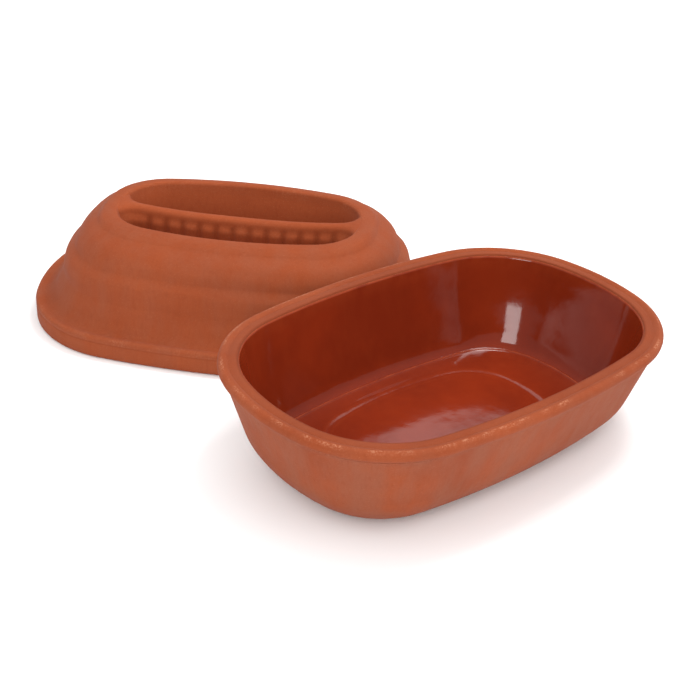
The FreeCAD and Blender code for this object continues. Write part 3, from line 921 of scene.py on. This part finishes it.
@dataclass
class GripBar:
    """Bar across the opening: a rounded top that sags, and upright finger flutes below it.

    neck_in, neck_out and flute_depths are pairs of depths below the bar's top, where a shape
    begins and is whole. flute_stop gives how far from the opening's ends the flutes begin to
    fade and are gone.
    """

    reach: float
    crown: float
    floor: float
    taper: float
    half_width: float = 7.8
    top_drop: float = 0.12
    sag: float = 6.0
    sag_power: float = 2.6
    shoulder: float = 6.0
    roundness: float = 0.85
    neck: float = 1.8
    neck_in: Stop = (2.5, 6.0)
    neck_out: Stop = (8.0, 13.0)
    flute_depths: Stop = (6.0, 12.0)
    flute_stop: Stop = (20.0, 13.0)
    pad_swell: float = 2.0
    groove_bite: float = 2.0
    groove_width: float = 2.5
    pitch: float = 15.5
    first_groove: float = -4.8
    end_flare: float = 18.0
    end_power: float = 2.4
    foot_flare: float = 5.0
    buried_foot: float = 3.0
    buried_end: float = 3.4
    stations: int = 120
    side_stops: int = 14
    top_stops: int = 10
    marks: Marks = Marks(wear_and_highlight=0.08)

    def top(self, x: float) -> float:
        """Height of the bar's top at a place along it."""
        share = min(abs(x) / self.reach, 1.0)
        return self.crown - self.top_drop - self.sag * (1 - share**self.sag_power)

    def groove(self, x: float) -> float:
        """How deep in a groove a place along the bar lies.

        Args:
            x: place along the bar.

        Returns:
            0 between grooves and past the last of them, 1 in the middle of a groove.
        """
        away = (x - self.first_groove + self.pitch / 2) % self.pitch - self.pitch / 2
        fade_from, fade_to = (self.reach - before_end for before_end in self.flute_stop)
        in_reach = 1 - eased(fade_from, fade_to, abs(x))
        return math.exp(-((away / self.groove_width) ** 2)) * in_reach

    def half_at(self, x: float, height: float) -> float:
        """Half of the bar's width at a place and a height.

        Args:
            x: place along the bar.
            height: height on its side.

        Returns:
            The distance from the bar's middle plane to its side.
        """
        below = self.top(x) - height
        fluted = eased(*self.flute_depths, below)
        groove = self.groove(x)
        swell = self.pad_swell * (1 - groove) * fluted - self.groove_bite * groove * fluted
        waist = self.neck * eased(*self.neck_in, below) * (1 - eased(*self.neck_out, below))
        into_foot = held((self.floor + self.foot_flare - height) / self.foot_flare)
        foot = self.foot_flare * (1 - math.sqrt(1 - into_foot**2))
        wall = self.reach - self.taper * min((self.crown - height) / (self.crown - self.floor), 1)
        into_end = held((abs(x) - wall + self.end_flare) / self.end_flare)
        end = self.end_flare * (1 - math.sqrt(max(1 - into_end**self.end_power, 0.0)))
        return self.half_width + swell - waist + foot + end

    def row(self, x: float) -> list[Vector]:
        """Points round the bar at a place along it.

        Args:
            x: place along the bar.

        Returns:
            The points up one side, over the top and down the other side, in metres.
        """
        shoulder = self.top(x) - self.shoulder
        root = self.floor - self.buried_foot
        side = []
        for stop in range(self.side_stops):
            height = root + (shoulder - root) * stop / self.side_stops
            side.append((self.half_at(x, height), height))
        over = []
        half = self.half_at(x, shoulder)
        for stop in range(self.top_stops + 1):
            angle = math.pi * stop / self.top_stops
            across = math.copysign(abs(math.cos(angle)) ** self.roundness, math.cos(angle))
            up = math.sin(angle) ** self.roundness
            over.append((half * across, shoulder + self.shoulder * up))
        down = [(-across, height) for across, height in side[::-1]]
        return [Vector((x, across, height)) * MM for across, height in side + over + down]

    def add_to(self, mesh: bmesh.types.BMesh) -> None:
        """Add the bar, with its ends and its foot buried in the lid.

        Args:
            mesh: the lid's mesh.
        """
        end = self.reach + self.buried_end
        places = [end * (2 * step / self.stations - 1) for step in range(self.stations + 1)]
        stack_rows(mesh, [self.row(x) for x in places], [self.marks] * len(places))


@dataclass
class Lid:
    """Ribbed lid with a fluted grip bar between two finger hollows.

    Insets are measured from the flange, along the lid's short side. Those of under_crown are
    from the opening, and its other numbers are depths below the top.
    """

    rim: Oval
    height: float
    middle: Vector
    finish: BareClay
    turn: float = math.radians(-47.3)
    wall: float = 8.5
    flange_foot: float = 7.0
    flange_height: float = 21.0
    flange_rounding: float = 3.2
    groove_height: float = 15.2
    groove_depth: float = 0.6
    groove_below: float = 1.1
    groove_above: Stop = (0.2, 0.9)
    dome: tuple[Stop, ...] = (
        (5.2, 20.7),
        (7.4, 20.9),
        (10.2, 23.8),
        (13.0, 29.2),
        (15.2, 36.6),
        (17.9, 44.4),
        (18.3, 49.0),
        (18.6, 55.6),
        (20.4, 63.8),
        (25.3, 70.6),
        (26.6, 74.8),
        (29.0, 81.0),
        (35.2, 88.3),
        (45.3, 93.5),
        (48.2, 95.8),
        (53.0, 98.7),
        (58.0, 99.9),
    )
    dome_steps: int = 3
    end_lean: float = 8.5
    lean_shares: Stop = (0.12, 0.82)
    opening: Oval = Oval(108.5, 60.0, 324.0, 143.0, 43.0)
    lip: float = 3.5
    taper: float = 8.0
    hollow_depth: float = 38.0
    hollow_rounding: float = 5.0
    hollow_shares: Shares = (0.9, 0.5, 0.1)
    tub_edge: float = 6.0
    tub_shares: Shares = (0.1, 0.5, 0.92)
    under_crown: tuple[Stop, ...] = ((-4.0, 14.0), (-6.0, 10.2), (-8.5, 9.0))
    under_dome: tuple[Stop, ...] = (
        (43.5, 86.5),
        (36.0, 80.0),
        (30.0, 70.0),
        (27.0, 60.0),
        (25.0, 45.0),
        (22.0, 32.0),
    )
    seat: tuple[Stop, ...] = ((15.5, 22.0), (15.5, 12.0), (15.5, 2.0), (14.9, 0.6), (13.3, 0.0))

    def oval(self, inset: float) -> Oval:
        """Outline of the lid's outside at an inset along its short side.

        Args:
            inset: distance in from the flange, along the short side.

        Returns:
            The outline, whose ends lean in a little more than its sides half way up.
        """
        share = inset / (self.rim.half_width - self.opening.half_width)
        between = self.rim.towards(self.opening, share)
        low, high = self.lean_shares
        lean = self.end_lean * math.sin(math.pi * held((share - low) / (high - low)))
        return replace(between, half_length=between.half_length - lean)

    def underside(self) -> list[Level]:
        """Work out the underside.

        Returns:
            The levels from the middle of the tub's underside round the inside to the seat.
        """
        floor = self.height - self.hollow_depth - self.wall
        tub = self.opening.inset(self.taper - self.wall)
        bottom = closing(tub, floor, self.tub_shares, Marks())
        edge = Section()
        edge.arc((self.tub_edge, floor + self.tub_edge), self.tub_edge, -90.0, 0.0, 4)
        crown = Section()
        for inset, depth in self.under_crown:
            crown.stop(inset, self.height - depth)
        dome = [
            Level(self.oval(inset - self.wall).inset(self.wall), height)
            for inset, height in self.under_dome
        ]
        seat = Section()
        for stop in self.seat:
            seat.stop(*stop)
        tub_side = edge.levels(tub.inset) + crown.levels(self.opening.inset)
        return bottom + tub_side + dome + seat.levels(self.rim.inset)

    def flange(self) -> list[Level]:
        """Work out the plain flange.

        Returns:
            The levels of its rounded foot, its side with a fine scored line, and its top edge.
        """
        section = Section()
        rounding = self.flange_rounding
        section.look(bloom_and_highlight=0.25)
        section.stop(self.flange_foot, 0.0)
        section.arc((rounding, rounding), rounding, -90.0, 0.0, 4)
        section.line(0.0, self.groove_height - self.groove_below, steps=3)
        # Painted shade: the scored line is darkened.
        section.look(bloom_and_highlight=0.1, darkening_and_shade=0.2)
        section.line(self.groove_depth, self.groove_height)
        section.look(wear_and_highlight=0.2, bloom_and_highlight=0.4)
        section.line(self.groove_above[0], self.groove_height + self.groove_above[1])
        section.arc((rounding, self.flange_height - rounding), rounding, 8.0, 88.0, 5)
        return section.levels(self.rim.inset)

    def outside(self) -> list[Level]:
        """Work out the outside.

        Returns:
            The levels of the ribbed dome and the crown.
        """
        section = Section()
        section.look(bloom_and_highlight=0.35)
        section.curve(self.dome, self.dome_steps)
        return section.levels(self.oval)

    def hollow(self) -> list[Level]:
        """Work out the hollow that the bar crosses.

        Returns:
            The levels from the lip of the opening down its wall to the middle of its floor.
        """
        floor = self.height - self.hollow_depth
        foot = floor + self.hollow_rounding
        inner = self.taper + self.hollow_rounding
        section = Section()
        section.look(wear_and_highlight=0.15, bloom_and_highlight=0.1)
        section.arc((-self.lip, self.height - self.lip), self.lip, 90.0, 180.0, 5)
        section.look()
        section.line(self.taper, foot, steps=4)
        section.arc((inner, foot), self.hollow_rounding, -22.5, -90.0, 3)
        middle = closing(self.opening.inset(inner), floor, self.hollow_shares, Marks())
        return section.levels(self.opening.inset) + middle

    def clay(self) -> bpy.types.Object:
        """Build the lid with its grip bar, turned and moved to its place.

        Returns:
            The lid, without its finish.
        """
        mesh = bmesh.new()
        stack_levels(mesh, self.underside() + self.flange() + self.outside() + self.hollow())
        grip = GripBar(
            reach=self.opening.half_length,
            crown=self.height,
            floor=self.height - self.hollow_depth,
            taper=self.taper,
        )
        grip.add_to(mesh)
        place = Matrix.Translation(self.middle) @ Matrix.Rotation(self.turn, 4, "Z")
        bmesh.ops.transform(mesh, matrix=place, verts=mesh.verts)
        return smooth_piece("lid_clay", mesh)

    def build(self) -> list[bpy.types.Object]:
        """Build and dress the lid.

        Returns:
            The lid alone.
        """
        clay = self.clay()
        dress(clay, self.finish.material(), "lid", "lid")
        return [clay]


# ------------------------------------------------------------------ the room


def direction(heading: float, elevation: float) -> Vector:
    """Point in a direction.

    Args:
        heading: degrees counter-clockwise from +X.
        elevation: degrees above level.

    Returns:
        The unit vector.
    """
    turn, lift = math.radians(heading), math.radians(elevation)
    flat = math.cos(lift)
    return Vector((math.cos(turn) * flat, math.sin(turn) * flat, math.sin(lift)))


@dataclass(frozen=True)
class SoftLight:
    """Soft light that points at the dish.

    heading and elevation give the light's direction seen from the dish, in degrees. The
    distance, width and height are in metres and the power is in watts. A light that isn't
    mirrored doesn't show in the glaze.
    """

    name: str
    heading: float
    elevation: float
    distance: float
    width: float
    height: float
    power: float
    mirrored: bool = True

    def build(self) -> None:
        """Hang the light."""
        lamp = bpy.data.lights.new(self.name, "AREA")
        lamp.shape = "RECTANGLE"
        lamp.size = self.width
        lamp.size_y = self.height
        lamp.energy = self.power
        away = direction(self.heading, self.elevation)
        holder = bpy.data.objects.new(self.name, lamp)
        holder.location = away * self.distance
        holder.rotation_euler = away.to_track_quat("Z", "Y").to_euler()
        holder.visible_glossy = self.mirrored
        bpy.context.scene.collection.objects.link(holder)


@dataclass
class Studio:
    """Pale floor, even white light, soft lights and the camera."""

    target: Vector = Vector((-0.0171, 0.0956, 0.040))
    distance: float = 1.087
    heading: float = 49.14
    tilt: float = 29.93
    roll: float = 2.98
    lens: float = 66.69
    sensor: float = 36.0
    clip: Stop = (0.05, 50.0)
    floor_size: float = 14.0
    paper: float = 0.95
    paper_roughness: float = 0.9
    paper_specular: float = 0.1
    sky: float = 0.33
    backdrop: float = 1.0
    lights: tuple[SoftLight, ...] = (
        SoftLight("ceiling", 90.0, 90.0, 3.0, 8.0, 8.0, 230.0, mirrored=False),
        SoftLight("front_fill", -48.0, 8.0, 2.2, 1.6, 0.8, 20.0, mirrored=False),
        SoftLight("side_softbox", -148.0, 28.0, 1.6, 0.62, 0.9, 11.5),
        SoftLight("top_softbox", 10.0, 70.0, 1.6, 0.6, 0.42, 11.0),
        SoftLight("back_card", 42.5, 40.5, 1.6, 0.34, 0.46, 0.5),
    )

    def floor(self) -> None:
        """Build the floor."""
        mesh = bmesh.new()
        bmesh.ops.create_grid(mesh, x_segments=1, y_segments=1, size=self.floor_size / 2)
        floor = object_from("floor", mesh)
        palette = Palette("white_paper")
        surface = palette.surface.inputs
        surface["Base Color"].default_value = (self.paper, self.paper, self.paper, 1.0)
        surface["Roughness"].default_value = self.paper_roughness
        surface["Specular IOR Level"].default_value = self.paper_specular
        floor.data.materials.append(palette.material)

    def world(self) -> None:
        """Light the room evenly from all round, against a backdrop that looks white."""
        world = bpy.data.worlds.new("white_room")
        world.use_nodes = True
        nodes, links = world.node_tree.nodes, world.node_tree.links
        background = nodes["Background"]
        background.inputs["Color"].default_value = (1.0, 1.0, 1.0, 1.0)
        strength = nodes.new("ShaderNodeMapRange")
        strength.inputs["To Min"].default_value = self.sky
        strength.inputs["To Max"].default_value = self.backdrop
        seen = nodes.new("ShaderNodeLightPath").outputs["Is Camera Ray"]
        links.new(seen, strength.inputs["Value"])
        links.new(strength.outputs["Result"], background.inputs["Strength"])
        bpy.context.scene.world = world

    def camera(self) -> None:
        """Set up the camera."""
        ahead = direction(self.heading, -self.tilt)
        camera = bpy.data.cameras.new("camera")
        camera.lens = self.lens
        camera.sensor_width = self.sensor
        camera.clip_start, camera.clip_end = self.clip
        holder = bpy.data.objects.new("camera", camera)
        turn = ahead.to_track_quat("-Z", "Y").to_matrix().to_4x4()
        roll = Matrix.Rotation(math.radians(self.roll), 4, "Z")
        place = Matrix.Translation(self.target - ahead * self.distance)
        holder.matrix_world = place @ turn @ roll
        bpy.context.scene.collection.objects.link(holder)
        bpy.context.scene.camera = holder

    def build(self) -> None:
        """Build the whole room."""
        self.floor()
        self.world()
        for light in self.lights:
            light.build()
        self.camera()
        bpy.context.scene.view_settings.view_transform = "Standard"


# ------------------------------------------------------------------ putting it together


@dataclass(frozen=True)
class Fit:
    """Sizes of the outlines that a node's box doesn't give."""

    side_radius: float = 675.0
    end_radius: float = 184.0
    corner_radius: float = 97.5
    lid_overhang: float = 1.5

    def dish(self) -> Dish:
        """Size the dish.

        Returns:
            The dish, as large as its solid.
        """
        low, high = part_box("dish")
        half_length = (high.x - low.x) / 2 / MM
        half_width = (high.y - low.y) / 2 / MM
        rim = Oval(half_length, half_width, self.side_radius, self.end_radius, self.corner_radius)
        finish = BareClay("dish_bare_clay", mottling=0.6)
        return Dish(rim, high.z / MM, finish, BrownGlaze("red_brown_glaze"))

    def lid(self, dish: Dish) -> Lid:
        """Size the lid.

        Args:
            dish: the dish that it fits.

        Returns:
            The lid, where its solid stands.
        """
        low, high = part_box("lid")
        middle = Vector(((low.x + high.x) / 2, (low.y + high.y) / 2, 0.0))
        finish = BareClay("lid_bare_clay", mottling=0.35)
        return Lid(dish.rim.inset(-self.lid_overhang), high.z / MM, middle, finish)


def main() -> None:
    """Build the dish, the lid and the room."""
    logging.basicConfig(level=logging.INFO)
    LOG.info("frame: %d nodes", len(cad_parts))
    dish = Fit().dish()
    lid = Fit().lid(dish)
    for piece in dish.build() + lid.build():
        LOG.info("%s: %d vertices", piece.name, len(piece.data.vertices))
    Studio().build()


if __name__ == "__main__":
    main()
